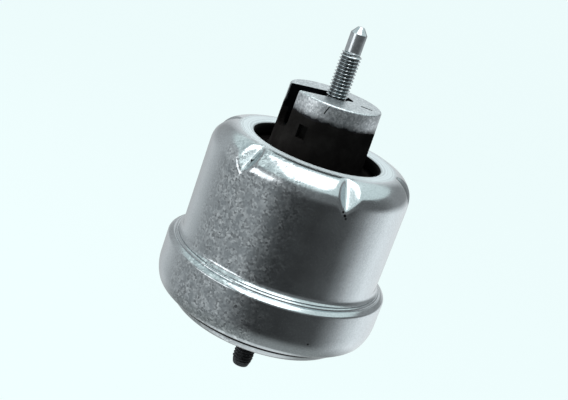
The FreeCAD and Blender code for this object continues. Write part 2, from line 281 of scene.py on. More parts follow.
def press_darts(piece):
    top = Vector((CAN_R - DART_INSET, 0, CAN_TOP))
    along = (Vector((CAN_R, 0, CAN_TOP - DART_DOWN)) - top).normalized()
    out = Vector((-along.z, 0, along.x))
    slope = math.radians(DART_SLOPE)
    corner = Vector((CAN_R - SHOULDER, CAN_TOP - SHOULDER))
    turn = math.tau / DARTS
    for vertex in piece.data.vertices:
        x, y, z = vertex.co / MM
        radius = math.hypot(x, y)
        if z < CAN_TOP - DART_DOWN * DART_REACH or radius < corner.x - DART_MARGIN:
            continue
        # A point deeper than half the sheet, measured from the shoulder's arc, is on the inner wall.
        across, up = max(radius - corner.x, 0), max(z - corner.y, 0)
        depth = SHEET if SHOULDER - math.hypot(across, up) > SHEET / 2 else 0.0
        # The point is turned to the first dart's plane, where the die is a V with a rounded ridge.
        angle = math.atan2(y, x) - math.radians(DART_ANGLE)
        offset = angle - round(angle / turn) * turn
        local = Vector((radius * math.cos(offset), radius * math.sin(offset), z)) - top
        height = local.dot(out)
        ridge = (DART_ROUND + depth) * math.tan(slope) / 2
        face = math.hypot(local.y * math.tan(slope), ridge) - depth / math.cos(slope)
        blend = max(DART_EDGE - abs(height - face), 0) / DART_EDGE
        sink = height - min(height, face) + blend * blend * DART_EDGE / 4
        # The sunk point is turned back to its own dart.
        local = top + local - out * sink
        radius, offset = math.hypot(local.x, local.y), math.atan2(local.y, local.x)
        angle = round(angle / turn) * turn + offset + math.radians(DART_ANGLE)
        vertex.co = Vector((radius * math.cos(angle), radius * math.sin(angle), local.z)) * MM


# %% [markdown]
# The can's section is closed: down the outside with its creases, round the lip, and up the inside. Its
# points lie under a millimetre apart on the outside, so that the darts find enough skin to press.

# %% The can
OUTSIDE_PACE, INSIDE_PACE = 0.9, 1.6

outside = can_outside()
lip = [(LIP_R, LIP_BOTTOM, LIP_ROUND), (LIP_R, LIP_BOTTOM + SHEET / 2)]
section = rounded(creased(outside)[:-1] + lip, OUTSIDE_PACE)
section += rounded(beside(outside, SHEET)[::-1], INSIDE_PACE)
can = turned("can", section + section[:1], around=360)
press_darts(can)
smooth(can, degrees=50)
print("darts pressed:", DARTS)

# %% [markdown]
# The studs carry a real thread. The stud is first turned plain but with many rings, and each point is
# then moved in or out by the thread's wave, which climbs one pitch in each turn. That keeps one closed
# skin with no joint, where a screwed ridge would have to be merged with its shank. The wave fades out at
# both ends.

# %% Cut a thread
PITCH, THREAD_R, THREAD_DEPTH, SHANK_R = 1.25, 4.0, 0.76, 3.6
RINGS_A_PITCH, FLANK, OUTER_SHARE = 12, 1.25, 0.8


def cut_thread(piece, bottom, top, fade):
    """Moves the outer points by a wave with a sharp crest and a flat root."""
    for vertex in piece.data.vertices:
        x, y, z = vertex.co / MM
        radius = math.hypot(x, y)
        if radius < THREAD_R * OUTER_SHARE or not bottom < z < top:
            continue
        phase = (z / PITCH - math.atan2(y, x) / math.tau) % 1.0
        wave = min(abs(phase - 0.5) * 2 * FLANK, 1.0)
        ease = min((z - bottom) / fade, (top - z) / fade, 1.0)
        deep = radius - THREAD_DEPTH * wave * ease
        vertex.co.x, vertex.co.y = x * deep / radius * MM, y * deep / radius * MM


def stud(name, corners, bottom, top, fade):
    piece = turned(name, rounded(corners, PITCH / RINGS_A_PITCH), around=72)
    cut_thread(piece, bottom, top, fade)
    smooth(piece, degrees=45)
    return piece


# %% [markdown]
# The upper stud is plated. Above its thread it has a smooth pilot and a blunt cone, which lead the nut
# on. The frame gives where it starts, where the core's top is and where the stud ends.

# %% The pilot stud
CORE_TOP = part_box("core")[1].z / MM
STUD_LOW, STUD_TOP = (corner.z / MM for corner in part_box("top_stud"))
THREAD_LENGTH, RUNOUT, THREAD_UNDER, THREAD_OVER = 17.2, 0.9, 1, 0.5
PILOT_R, POINT_LENGTH, POINT_R, POINT_ROUND = 3.08, 2.5, 1.15, 0.4
THREAD_TOP = CORE_TOP + THREAD_LENGTH
THREAD_START, THREAD_END = CORE_TOP - THREAD_UNDER, THREAD_TOP + THREAD_OVER

top_stud = stud("pilot_stud", [
    (0, STUD_LOW), (SHANK_R, STUD_LOW), (SHANK_R, CORE_TOP), (THREAD_R, CORE_TOP),
    (THREAD_R, THREAD_TOP - RUNOUT), (PILOT_R, THREAD_TOP), (PILOT_R, STUD_TOP - POINT_LENGTH),
    (POINT_R, STUD_TOP, POINT_ROUND), (0, STUD_TOP)], THREAD_START, THREAD_END, RUNOUT)
print("turns above the core:", round(THREAD_LENGTH / PITCH, 1))

# %% [markdown]
# The lower stud is dark with phosphate. It is pressed through the cover from inside, so its head is
# hidden and only the thread with its short lead shows. Its neck fills the hole in the cover.

# %% The foot stud
FOOT, HEAD_TOP = (corner.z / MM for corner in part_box("bottom_stud"))
LEAD_R, LEAD_LENGTH, LEAD_ROUND = 3.0, 3.0, 0.5
COVER_WALL, COVER_HOLE_R, STUD_HEAD_R, STUD_HEAD_ROUND = 2.0, 4.6, 9.0, 1.0
FOOT_THREAD_START, FOOT_THREAD_END, FOOT_FADE = FOOT + 1.5, -0.6, 1.2

foot_stud = stud("foot_stud", [
    (0, FOOT), (LEAD_R, FOOT, LEAD_ROUND), (THREAD_R, FOOT + LEAD_LENGTH), (THREAD_R, 0), (COVER_HOLE_R, 0),
    (COVER_HOLE_R, COVER_WALL), (STUD_HEAD_R, COVER_WALL), (STUD_HEAD_R, HEAD_TOP, STUD_HEAD_ROUND),
    (0, HEAD_TOP)], FOOT_THREAD_START, FOOT_THREAD_END, FOOT_FADE)
print("turns below the seat:", round((FOOT_THREAD_END - FOOT_THREAD_START) / PITCH, 1))

# %% [markdown]
# The core is one casting. Its section is turned with the stop flange and the cone that the rubber hides.
# That hidden side is a list of its own, because the rubber of the spring is moulded against it.

# %% Sizes of the core, in millimetres
HEAD_R, BARE, DRAFT_ANGLE, RIM_ROUND, CHAMFER = 17.6, 7.0, 1.2, 0.7, 0.7
NECK_R, NECK_DROP, NECK_ROUND = 15.3, 1.8, 2.3
FLANGE_R, FLANGE_TOP, FLANGE_LOW, FLANGE_ROUND = 26.0, 63.3, 58.8, 1.8
CONE_R, CONE_TIP, TIP_R, TIP_ROUND = 17.5, 43.8, 11.5, 2.5
BALL_R, BALL_TOP, FILL_R = 3.0, 51.8, 1.5
CORE_PACE = 4.0
DRAFT = BARE * math.tan(math.radians(DRAFT_ANGLE))
BARE_LOW = CORE_TOP - BARE
HEAD_LOW = BARE_LOW - NECK_DROP

hidden_side = [
    (BALL_R, CONE_TIP), (TIP_R, CONE_TIP, TIP_ROUND), (CONE_R, FLANGE_LOW, FLANGE_ROUND),
    (FLANGE_R, FLANGE_LOW, FLANGE_ROUND), (FLANGE_R, FLANGE_TOP, FLANGE_ROUND),
    (NECK_R, FLANGE_TOP, NECK_ROUND), (NECK_R, HEAD_LOW), (HEAD_R, HEAD_LOW), (HEAD_R, BARE_LOW)]
core = turned("slotted_core", rounded(hidden_side + [
    (HEAD_R - DRAFT, CORE_TOP, RIM_ROUND), (SHANK_R + CHAMFER, CORE_TOP), (SHANK_R, CORE_TOP - CHAMFER),
    (SHANK_R, STUD_LOW), (FILL_R, STUD_LOW), (FILL_R, BALL_TOP), (BALL_R, BALL_TOP),
    (BALL_R, CONE_TIP)], CORE_PACE), around=180)

# %% [markdown]
# A slot is milled in from one side, off the centre, and ends in two round corners. The head also has two
# fine marks that the machining left: a leaning scratch on its side and a short dash on its top. A thin
# block cuts each of them, leant over and turned to its azimuth.

# %% Cut the slot and the fine marks
SLOT_LOW, SLOT_HIGH, SLOT_END, SLOT_DEPTH, SLOT_CORNER = -2.7, 6.0, 7.0, 15.0, 2.5
SLOT_FLOOR, TOOL_OVER = CORE_TOP - SLOT_DEPTH, 5
SCRATCH_DEEP, SCRATCH_HALF, SCRATCH_LOW, SCRATCH_HIGH = 0.9, 0.2, 88.1, 91.4
SCRATCH_LEAN, SCRATCH_ANGLE = -18.4, 232.0
DASH_DEEP, DASH_IN, DASH_OUT, DASH_LEFT, DASH_RIGHT, DASH_ANGLE = 0.6, 9.4, 13.8, -2.5, -1.1, 328.0
MARK_OVER = 1


def slot_block(end):
    """The room of the slot, from outside the head to the given end."""
    return block((-HEAD_R * 2, SLOT_LOW, SLOT_FLOOR), (end, SLOT_HIGH, CORE_TOP + TOOL_OVER))


def score(piece, low, high, lean, azimuth):
    """Cuts a fine mark with a block that leans about its own middle."""
    tool = block(low, high)
    swing(lean, "X", [(a + b) / 2 * MM for a, b in zip(low, high)])
    swing(azimuth, "Z")
    carve(piece, tool)


slot = slot_block(SLOT_END)
round_edges(slot, lambda spot: spot.x > SLOT_END - NEAR, along=2, bend=SLOT_CORNER)
carve(core, slot)
score(core, (HEAD_R - SCRATCH_DEEP, -SCRATCH_HALF, SCRATCH_LOW),
      (HEAD_R + MARK_OVER, SCRATCH_HALF, SCRATCH_HIGH), SCRATCH_LEAN, SCRATCH_ANGLE)
score(core, (DASH_IN, DASH_LEFT, CORE_TOP - DASH_DEEP),
      (DASH_OUT, DASH_RIGHT, CORE_TOP + MARK_OVER), 0.0, DASH_ANGLE)
smooth(core, degrees=30)
print("core after the cuts:", len(core.data.polygons), "faces")

# %% [markdown]
# The spring is one rubber moulding round the core. Its jacket runs up the head and thins to a film at the
# bare metal, and it swells out below into the stop bumper, a waist and the collar that is clamped in the
# can.

# %% The spring
JACKET_R, FILM, FILM_DROP, BUMPER_R, BUMPER_TOP = 17.95, 0.06, 0.3, 29.0, 66.3
BUMPER_FILLET, BUMPER_ROUND, WAIST_R, WAIST_Z, WAIST_ROUND = 4.0, 2.2, 23.5, 55.8, 1.4
COLLAR_R, COLLAR_IN, COLLAR_TOP, COLLAR_FALL, COLLAR_EDGE = 35.5, 33.5, 40.0, 1.5, 0.75
SPRING_LOW, SPRING_FOOT, HOLLOW_ROUND, THROAT_ROUND, THROAT_OUT, THROAT_DOWN = 21.9, 2, 2, 4, 2, 1
SPRING_PACE = 2.5

spring = turned("rubber_spring", rounded(hidden_side + [
    (HEAD_R + FILM, BARE_LOW - FILM_DROP), (JACKET_R, BUMPER_TOP, BUMPER_FILLET),
    (BUMPER_R, BUMPER_TOP, BUMPER_ROUND), (BUMPER_R, WAIST_Z, BUMPER_ROUND),
    (WAIST_R, WAIST_Z, WAIST_ROUND),
    (COLLAR_R - COLLAR_FALL, COLLAR_TOP + COLLAR_FALL, COLLAR_EDGE), (COLLAR_R, COLLAR_TOP + COLLAR_EDGE),
    (COLLAR_R, COLLAR_TOP), (COLLAR_IN, COLLAR_TOP), (COLLAR_IN, SPRING_LOW),
    (COLLAR_IN - SPRING_FOOT, SPRING_LOW),
    (COLLAR_IN - SPRING_FOOT * 2, SPRING_LOW + SPRING_FOOT, HOLLOW_ROUND),
    (TIP_R + THROAT_OUT, CONE_TIP - THROAT_DOWN, THROAT_ROUND), (BALL_R, CONE_TIP - THROAT_DOWN * 2),
    (BALL_R, CONE_TIP)], SPRING_PACE), around=180)

# %% [markdown]
# The film is the flash that creeps up the head in the mould, so its edge is never level. Two slow waves
# and a little noise lift and lower its points, all round the head.

# %% Let the film's edge wander
FILM_REACH, FILM_ANGLE, FILM_MEAN = 0.5, 238, 0.25
# Each wave has a height in millimetres, a count in one turn and a phase.
WAVES = ((0.25, 7, 0.6), (0.2, 3, 0.0))
RAGGED, RAGGED_SCALE = 0.3, 400


def tear_film(piece):
    """Lifts and lowers the topmost points of the film by the waves and by noise."""
    for vertex in piece.data.vertices:
        if vertex.co.z > (BARE_LOW - FILM_REACH) * MM:
            angle = math.atan2(vertex.co.y, vertex.co.x) - math.radians(FILM_ANGLE)
            lift = sum(size * math.sin(count * angle + phase) for size, count, phase in WAVES)
            lift += RAGGED * noise.noise(vertex.co * RAGGED_SCALE)
            vertex.co.z += (lift - FILM_MEAN) * MM


tear_film(spring)

# %% [markdown]
# The jacket leaves the slot open with a round-bottomed mouth, and beside it the mould's peg left a small
# square pocket. Both are cut, so their rims stay crisp against the matt rubber.

# %% The mouth and the pocket
MOUTH_ROUND = 3.0
POCKET_ANGLE, POCKET_TOP, POCKET_HIGH, POCKET_WIDE, POCKET_DEEP = 212.5, 81.6, 5.0, 3.6, 2.6

mouth = slot_block(0)
round_edges(mouth, lambda spot: spot.z < SLOT_FLOOR + NEAR, along=0, bend=MOUTH_ROUND)
carve(spring, mouth)
pocket = block((JACKET_R - POCKET_DEEP, -POCKET_WIDE / 2, POCKET_TOP - POCKET_HIGH),
               (BUMPER_R, POCKET_WIDE / 2, POCKET_TOP))
swing(POCKET_ANGLE, "Z")
carve(spring, pocket)
smooth(spring, degrees=40)
print("spring after the cuts:", len(spring.data.polygons), "faces")

# %% [markdown]
# The cover is a pressed dish. Only its rounded flank and flat foot show under the crimped lip. It is
# turned as a closed section like the can's, and a small vent is drilled beside the stud.

# %% The cover
COVER_R, COVER_DEPTH, COVER_ROUND, COVER_FLANGE, FLANGE_FILLET = 37.2, 8.7, 8.6, 39.0, 0.4
VENT_R, VENT_PLACE, VENT_LONG, COVER_PACE = 1.5, 22, 12, 1.2

dish = [(COVER_HOLE_R, 0), (COVER_R, 0, COVER_ROUND), (COVER_R, COVER_DEPTH, FLANGE_FILLET),
        (COVER_FLANGE, COVER_DEPTH)]
section = rounded(dish, COVER_PACE) + rounded(beside(dish, -COVER_WALL)[::-1], COVER_PACE)
cover = turned("dished_cover", section + section[:1], around=240)
bpy.ops.object.select_all(action="DESELECT")
bpy.ops.mesh.primitive_cylinder_add(
    vertices=32, radius=VENT_R * MM, depth=VENT_LONG * MM, location=(0, 0, 0))
vent = bpy.context.object
edit()
bpy.ops.transform.translate(value=(0, VENT_PLACE * MM, 0))
leave()
carve(cover, vent)
smooth(cover, degrees=40)

# %% [markdown]
# Finishes are built from nodes that read Object coordinates, so the grain sits on the metal at its real
# size. One helper makes a material with its shader and its coordinates, and the others add a texture,
# stretch a value, mix two colours or raise a slight relief. Short helpers keep each finish down to a few
# lines.

# %% Material helpers
def finish(name, colour, metallic, roughness):
    """A material with its node tree, its shader and its Object coordinates."""
    material = bpy.data.materials.new(name)
    material.use_nodes = True
    tree = material.node_tree
    shader = tree.nodes["Principled BSDF"]
    shader.inputs["Base Color"].default_value = (*colour, 1)
    shader.inputs["Metallic"].default_value = metallic
    shader.inputs["Roughness"].default_value = roughness
    place = tree.nodes.new("ShaderNodeTexCoord")
    return material, tree, shader, place.outputs["Object"]


def levels(tree, value, low, high, out_low=0.0, out_high=1.0):
    """Stretches a value between two limits onto two others."""
    node = tree.nodes.new("ShaderNodeMapRange")
    node.inputs["From Min"].default_value = low
    node.inputs["From Max"].default_value = high
    node.inputs["To Min"].default_value = out_low
    node.inputs["To Max"].default_value = out_high
    tree.links.new(value, node.inputs["Value"])
    return node.outputs["Result"]


def tint(tree, share, first, second):
    """Mixes two colours by a share."""
    node = tree.nodes.new("ShaderNodeMix")
    node.data_type = "RGBA"
    colours = [socket for socket in node.inputs if socket.type == "RGBA"]
    for socket, colour in zip(colours, (first, second)):
        if isinstance(colour, tuple):
            socket.default_value = (*colour, 1)
        else:
            tree.links.new(colour, socket)
    tree.links.new(share, node.inputs["Factor"])
    return next(socket for socket in node.outputs if socket.type == "RGBA")


def combined(tree, first, second, kind="MULTIPLY"):
    """Two values, or a value and a plain number, put through one sum."""
    node = tree.nodes.new("ShaderNodeMath")
    node.operation = kind
    for value, socket in ((first, node.inputs[0]), (second, node.inputs[1])):
        if isinstance(value, float):
            socket.default_value = value
        else:
            tree.links.new(value, socket)
    return node.outputs["Value"]


def relief(tree, shader, height, depth_mm):
    """Bump from a height value."""
    node = tree.nodes.new("ShaderNodeBump")
    node.inputs["Strength"].default_value = 1.0
    node.inputs["Distance"].default_value = depth_mm * MM
    tree.links.new(height, node.inputs["Height"])
    tree.links.new(node.outputs["Normal"], shader.inputs["Normal"])


# %% [markdown]
# Two textures do most of the work. Noise gives grain, and stretched between two of its levels it gives
# soft patches. Voronoi cells give crystals, each with one tone of its own.

# %% Textures
def grain(tree, place, size_mm, detail=3.0, rough=0.6):
    """Noise with a grain of about the given size."""
    texture = tree.nodes.new("ShaderNodeTexNoise")
    texture.inputs["Scale"].default_value = 1 / (size_mm * MM)
    texture.inputs["Detail"].default_value = detail
    texture.inputs["Roughness"].default_value = rough
    tree.links.new(place, texture.inputs["Vector"])
    return texture.outputs["Fac"]


def patches(tree, place, size_mm, detail=3.0, rough=0.6, low=0.35, high=0.65):
    """Grain stretched so that it runs from 0 to 1."""
    return levels(tree, grain(tree, place, size_mm, detail, rough), low, high)


def cells(tree, place, size_mm):
    """A random value for each crystal of about the given size."""
    texture = tree.nodes.new("ShaderNodeTexVoronoi")
    texture.inputs["Scale"].default_value = 1 / (size_mm * MM)
    tree.links.new(place, texture.inputs["Vector"])
    split = tree.nodes.new("ShaderNodeSeparateColor")
    tree.links.new(texture.outputs["Color"], split.inputs["Color"])
    return split.outputs["Red"]


# %% [markdown]
# Every mark on a round piece has its place by distance from the axis, height and azimuth. So a mask is
# made from these three rather than painted, and it stays put when a mesh changes.

# %% Masks by place
def axes(tree, place):
    """The three coordinates of a place, in metres."""
    split = tree.nodes.new("ShaderNodeSeparateXYZ")
    tree.links.new(place, split.inputs["Vector"])
    return split.outputs["X"], split.outputs["Y"], split.outputs["Z"]


def above_seat(tree, place):
    return axes(tree, place)[2]


def from_axis(tree, place):
    """The distance from the mount's axis, in metres."""
    flat = tree.nodes.new("ShaderNodeVectorMath")
    flat.operation = "MULTIPLY"
    flat.inputs[1].default_value = (1, 1, 0)
    tree.links.new(place, flat.inputs[0])
    size = tree.nodes.new("ShaderNodeVectorMath")
    size.operation = "LENGTH"
    tree.links.new(flat.outputs["Vector"], size.inputs[0])
    return size.outputs["Value"]


def until(tree, value, start, end):
    """1 up to a limit in millimetres, falling to 0 at a second one."""
    return levels(tree, value, start * MM, end * MM, 1.0, 0.0)


def beyond(tree, value, start, end):
    """0 up to a limit in millimetres, rising to 1 at a second one."""
    return levels(tree, value, start * MM, end * MM)


def sector(tree, place, degrees, core, fade):
    """1 within an angle on either side of an azimuth of the part, falling to 0 at a wider one."""
    sweep = tree.nodes.new("ShaderNodeTexGradient")
    sweep.gradient_type = "RADIAL"
    tree.links.new(place, sweep.inputs["Vector"])
    away = combined(tree, sweep.outputs["Fac"], (degrees + 180) % 360 / 360, "SUBTRACT")
    size = combined(tree, away, 0.0, "ABSOLUTE")
    return levels(tree, size, core / 360, fade / 360, 1.0, 0.0)


# %% [markdown]
# The can is plated. On one side the plating has grown coarse, sharp crystals, and elsewhere it is fine
# and calm, so two looks are mixed by a sector. Drawing leaves rings round the opening, which are a noise
# along the distance from the axis. Small dark spots, each with a ragged rim, sit at two dart tips and at
# a few places below.

# %% The plating's colour
CRYSTAL_DARK, CRYSTAL_PALE, CRYSTAL_DULL = (0.2, 0.215, 0.225), (0.92, 0.98, 1.0), (0.4, 0.44, 0.46)
CALM_DARK, CALM_MIDDLE, CALM_PALE = (0.42, 0.45, 0.47), (0.5, 0.54, 0.56), (0.64, 0.69, 0.71)
DRAWN_SIZE, DRAWN_DARK, DRAWN_PALE = 0.6, (0.6, 0.64, 0.66), (0.74, 0.79, 0.81)
# Each speck has an azimuth in degrees, then its distance from the axis, its height and its size.
SPECKS = ((202.9, 34.4, 66.4, 1.7), (262.5, 38.4, 61.2, 0.9), (261.0, 38.4, 62.4, 0.7),
          (263.6, 38.4, 60.2, 0.6), (265.0, 43.0, 13.5, 0.5))
SPECK_SOFT, DARK_SPOT = 0.15, (0.02, 0.022, 0.024)


def plating(tree, place, cloud):
    fine = patches(tree, place, size_mm=0.5, detail=4.0, rough=0.8, low=0.3, high=0.7)
    crystals = tint(tree, cells(tree, place, size_mm=0.75), CRYSTAL_DARK, CRYSTAL_PALE)
    veil = patches(tree, place, size_mm=3.0, detail=2.0, low=0.3, high=0.7)
    spangled = tint(tree, veil, CRYSTAL_DULL, crystals)
    calm = tint(tree, fine, tint(tree, cloud, CALM_DARK, CALM_MIDDLE), CALM_PALE)
    return tint(tree, sector(tree, place, degrees=214.0, core=18.0, fade=34.0), calm, spangled)


def drawn_rings(tree, away):
    rings = tree.nodes.new("ShaderNodeTexNoise")
    rings.noise_dimensions = "1D"
    rings.inputs["Scale"].default_value = 1 / (DRAWN_SIZE * MM)
    tree.links.new(away, rings.inputs["W"])
    return tint(tree, levels(tree, rings.outputs["Fac"], low=0.4, high=0.6), DRAWN_DARK, DRAWN_PALE)


def with_specks(tree, place, shown):
    for azimuth, out, up, size in SPECKS:
        turn = math.radians(azimuth)
        gap = tree.nodes.new("ShaderNodeVectorMath")
        gap.operation = "DISTANCE"
        gap.inputs[1].default_value = (out * math.cos(turn) * MM, out * math.sin(turn) * MM, up * MM)
        tree.links.new(place, gap.inputs[0])
        ragged = combined(tree, grain(tree, place, size_mm=0.5), size * MM)
        near = combined(tree, gap.outputs["Value"], ragged, "SUBTRACT")
        shown = tint(tree, until(tree, near, 0.0, SPECK_SOFT), shown, DARK_SPOT)
    return shown


# %% [markdown]
# The whole finish of the can adds three masks to that colour. The rolled rim is duller and shows the
# rings, the seam between the crimped lip and the cover gets a painted shadow, nearly black, and the inside
# of the opening gets a painted shade, nearly black. All three are rings, so each lies between two
# distances or heights with a short fade.

# %% Plated steel
RIM_OUT, RIM_HIGH, RIM_DULL = (29, 31), (CAN_TOP - 1, CAN_TOP - 0.5), 0.5
# Painted shadow: the crevice between the crimped lip and the cover is coloured nearly black.
SEAM_IN, SEAM_OUT, SEAM_LOW, SEAM_HIGH = (35.4, 35.6), (37.6, 37.8), (4.1, 4.4), (7.0, 7.2)
# Painted shade: inside the opening the steel is coloured nearly black and made duller.
OPENING_SHADE_OUT, OPENING_SHADE_HIGH, OPENING_SHADE_DULL = (24.7, 24.9), (71.2, 71.6), 0.6
BLUR_LOW, BLUR_HIGH = 0.15, 0.23
SEAM_SHADOW, OPENING_SHADE = (0.01, 0.011, 0.012), (0.004, 0.004, 0.004)


def plated_steel():
    material, tree, shader, place = finish("plated_steel", (0.55, 0.56, 0.57), metallic=1.0, roughness=0.2)
    away, tall = from_axis(tree, place), above_seat(tree, place)
    cloud = patches(tree, place, size_mm=9.0)
    rim = combined(tree, until(tree, away, *RIM_OUT), beyond(tree, tall, *RIM_HIGH))
    shown = tint(tree, rim, plating(tree, place, cloud), drawn_rings(tree, away))
    shown = with_specks(tree, place, shown)
    # Painted shadow in the crevice between the crimped lip and the cover.
    across = combined(tree, beyond(tree, away, *SEAM_IN), until(tree, away, *SEAM_OUT))
    upright = combined(tree, beyond(tree, tall, *SEAM_LOW), until(tree, tall, *SEAM_HIGH))
    shown = tint(tree, combined(tree, across, upright), shown, SEAM_SHADOW)
    # Painted shade, nearly black, inside the opening.
    shade_inside = combined(tree, until(tree, away, *OPENING_SHADE_OUT), until(tree, tall, *OPENING_SHADE_HIGH))
    tree.links.new(tint(tree, shade_inside, shown, OPENING_SHADE), shader.inputs["Base Color"])
    dull = combined(tree, combined(tree, rim, RIM_DULL), combined(tree, shade_inside, OPENING_SHADE_DULL), "ADD")
    blur = combined(tree, levels(tree, cloud, 0.0, 1.0, BLUR_LOW, BLUR_HIGH), dull, "ADD")
    tree.links.new(blur, shader.inputs["Roughness"])
    relief(tree, shader, grain(tree, place, size_mm=0.7, rough=0.7), depth_mm=0.01)
    return material


# %% [markdown]
# The core is cast aluminium, machined on its head: a pitted grey with single bright crystals. Soot from
# the moulding darkens it just above the film, on an edge that noise makes uneven. The slot and the fine
# marks get a painted shade, nearly black, so everything that lies inside the head's skin and below its
# top takes that dark tone.

# %% Cast aluminium
PIT_DARK, PIT_PALE, BRIGHT_CRYSTAL = (0.3, 0.33, 0.35), (0.6, 0.64, 0.66), (0.72, 0.76, 0.78)
# The second colour is a painted shade, nearly black, for the slot and the fine marks.
SOOT, CUT_SHADE = (0.02, 0.02, 0.022), (0.02, 0.022, 0.026)
SOOT_WANDER, SOOT_FULL, SOOT_END = 2.4, BARE_LOW - 1.1, BARE_LOW + 0.8
CUT_IN, CUT_DOWN = (HEAD_R - 0.58, HEAD_R - 0.52), (CORE_TOP - 0.14, CORE_TOP - 0.08)


def cast_aluminium():
    material, tree, shader, place = finish("cast_aluminium", (0.6, 0.62, 0.64), metallic=1.0, roughness=0.4)
    away, tall = from_axis(tree, place), above_seat(tree, place)
    pitted = tint(tree, patches(tree, place, size_mm=0.8, rough=0.7), PIT_DARK, PIT_PALE)
    bright = levels(tree, cells(tree, place, size_mm=0.6), low=0.6, high=1.0)
    bare = tint(tree, bright, pitted, BRIGHT_CRYSTAL)
    wander = combined(tree, grain(tree, place, size_mm=1.6), SOOT_WANDER * MM)
    edge = combined(tree, tall, wander, "SUBTRACT")
    sooty = tint(tree, until(tree, edge, SOOT_FULL, SOOT_END), bare, SOOT)
    # Painted shade: everything inside the head's skin and below its top, the slot and the fine marks, is
    # coloured nearly black.
    shade_in_cuts = combined(tree, until(tree, away, *CUT_IN), until(tree, tall, *CUT_DOWN))
    tree.links.new(tint(tree, shade_in_cuts, sooty, CUT_SHADE), shader.inputs["Base Color"])
    relief(tree, shader, grain(tree, place, size_mm=0.7, rough=0.7), depth_mm=0.05)
    return material


# %% [markdown]
# The upper stud is zinc plated and bright. The roots of its thread get a painted shade, so the metal
# darkens there, below the pilot and within the radius of the roots.

# %% Zinc
ZINC_DARK, ZINC_PALE, ROOT_SHADE = (0.42, 0.46, 0.48), (0.58, 0.62, 0.64), (0.14, 0.15, 0.155)
ROOT_OUT, ROOT_HIGH = (3.25, 3.65), (THREAD_TOP - RUNOUT, THREAD_TOP - 0.6)


def zinc_steel():
    material, tree, shader, place = finish("zinc_steel", (0.6, 0.64, 0.66), metallic=1.0, roughness=0.16)
    away, tall = from_axis(tree, place), above_seat(tree, place)
    plain = tint(tree, patches(tree, place, size_mm=1.5), ZINC_DARK, ZINC_PALE)
    # Painted shade in the roots of the thread.
    root = combined(tree, until(tree, away, *ROOT_OUT), until(tree, tall, *ROOT_HIGH))
    tree.links.new(tint(tree, root, plain, ROOT_SHADE), shader.inputs["Base Color"])
    return material


# %% [markdown]
# Phosphate turns the lower stud nearly black and a little dull. The rubber is matt black: its gloss is
# taken out, because rubber of this kind shows no clear reflection, and its tone hardly varies.

# %% Phosphated steel and rubber
PHOSPHATE_DARK, PHOSPHATE_PALE = (0.02, 0.022, 0.024), (0.06, 0.065, 0.07)
RUBBER_DARK, RUBBER_PALE = (0.008, 0.0076, 0.0074), (0.014, 0.0135, 0.013)


def dark_steel():
    material, tree, shader, place = finish("dark_steel", (0.03, 0.033, 0.035), metallic=0.6, roughness=0.5)
    shown = tint(tree, patches(tree, place, size_mm=0.8), PHOSPHATE_DARK, PHOSPHATE_PALE)
    tree.links.new(shown, shader.inputs["Base Color"])
    relief(tree, shader, grain(tree, place, size_mm=0.4), depth_mm=0.03)
    return material


def moulded_rubber():
    material, tree, shader, place = finish(
        "moulded_rubber", (0.006, 0.006, 0.007), metallic=0.0, roughness=0.7)
    shader.inputs["Specular IOR Level"].default_value = 0.0
    shown = tint(tree, patches(tree, place, size_mm=6.0, low=0.4, high=0.7), RUBBER_DARK, RUBBER_PALE)
    tree.links.new(shown, shader.inputs["Base Color"])
    relief(tree, shader, grain(tree, place, size_mm=1.0), depth_mm=0.03)
    return material


# %% [markdown]
# Each new piece now takes its finish and the body it rides on, and the solid it stands for is hidden. The
# pieces sealed inside the can keep their solids, and each of their slots is filled from the same finishes.

# %% Give every piece its finish
def dress(piece, node, material):
    """Gives a finished piece its finish and its body, and hides the solid it stands for."""
    piece.data.materials.clear()
    piece.data.materials.append(material)
    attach(piece, "root")
    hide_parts(node)
    print(piece.name, "faces", len(piece.data.polygons))


finishes = {"plated_steel": plated_steel(), "cast_aluminium": cast_aluminium(), "zinc_steel": zinc_steel(),
            "dark_steel": dark_steel(), "rubber": moulded_rubber()}
dress(can, "housing", finishes["plated_steel"])
dress(core, "core", finishes["cast_aluminium"])
dress(top_stud, "top_stud", finishes["zinc_steel"])
dress(foot_stud, "bottom_stud", finishes["dark_steel"])
dress(spring, "main_spring", finishes["rubber"])
dress(cover, "bottom_cover", finishes["plated_steel"])
slots = {entry["node"]: entry["material_slot"] for entry in frame["record"]["subparts"]}
for name, node in nodes.items():
    for holder in node.material_slots:
        holder.material = finishes[slots[name]]

# %% [markdown]
# The camera was found by fitting the ellipses of the can, the step and the opening in the photo. The
# mount lies tilted in the picture, and since the part stands upright in its frame, the camera is rolled
# instead.

# %% Camera
LENS, SENSOR, NEAREST = 68.2, 36.0, 0.01
VIEW_ANGLE, ELEVATION, DISTANCE, ROLL = -32.0, 16.98, 0.4022, 19.66
AIM_SIDE, AIM_HEIGHT = -5.32 * MM, 48.6 * MM


def studio(side, depth, height):
    """A place given to the camera's right, away from it, and up, in the part's frame."""
    turn = math.radians(VIEW_ANGLE)
    return Vector((side * math.cos(turn) - depth * math.sin(turn),
                   side * math.sin(turn) + depth * math.cos(turn), height))


aim = studio(AIM_SIDE, 0, AIM_HEIGHT)
rise = math.radians(ELEVATION)
spot = studio(AIM_SIDE, -DISTANCE * math.cos(rise), AIM_HEIGHT + DISTANCE * math.sin(rise))
camera_data = bpy.data.cameras.new("camera")
camera_data.lens = LENS
camera_data.sensor_width = SENSOR
camera_data.clip_start = NEAREST
camera = bpy.data.objects.new("camera", camera_data)
bpy.context.scene.collection.objects.link(camera)
camera.location = spot
camera.rotation_mode = "QUATERNION"
level_view = (aim - spot).to_track_quat("-Z", "Y")
camera.rotation_quaternion = level_view @ Quaternion((0, 0, 1), math.radians(ROLL))
bpy.context.scene.camera = camera
print("camera at", [round(value, 3) for value in spot])

# %% [markdown]
# Three soft lamps light the mount: a large one overhead, a low one at the left in front for the core's
# side, and one far out at the left that only adds light and isn't mirrored in the metal.

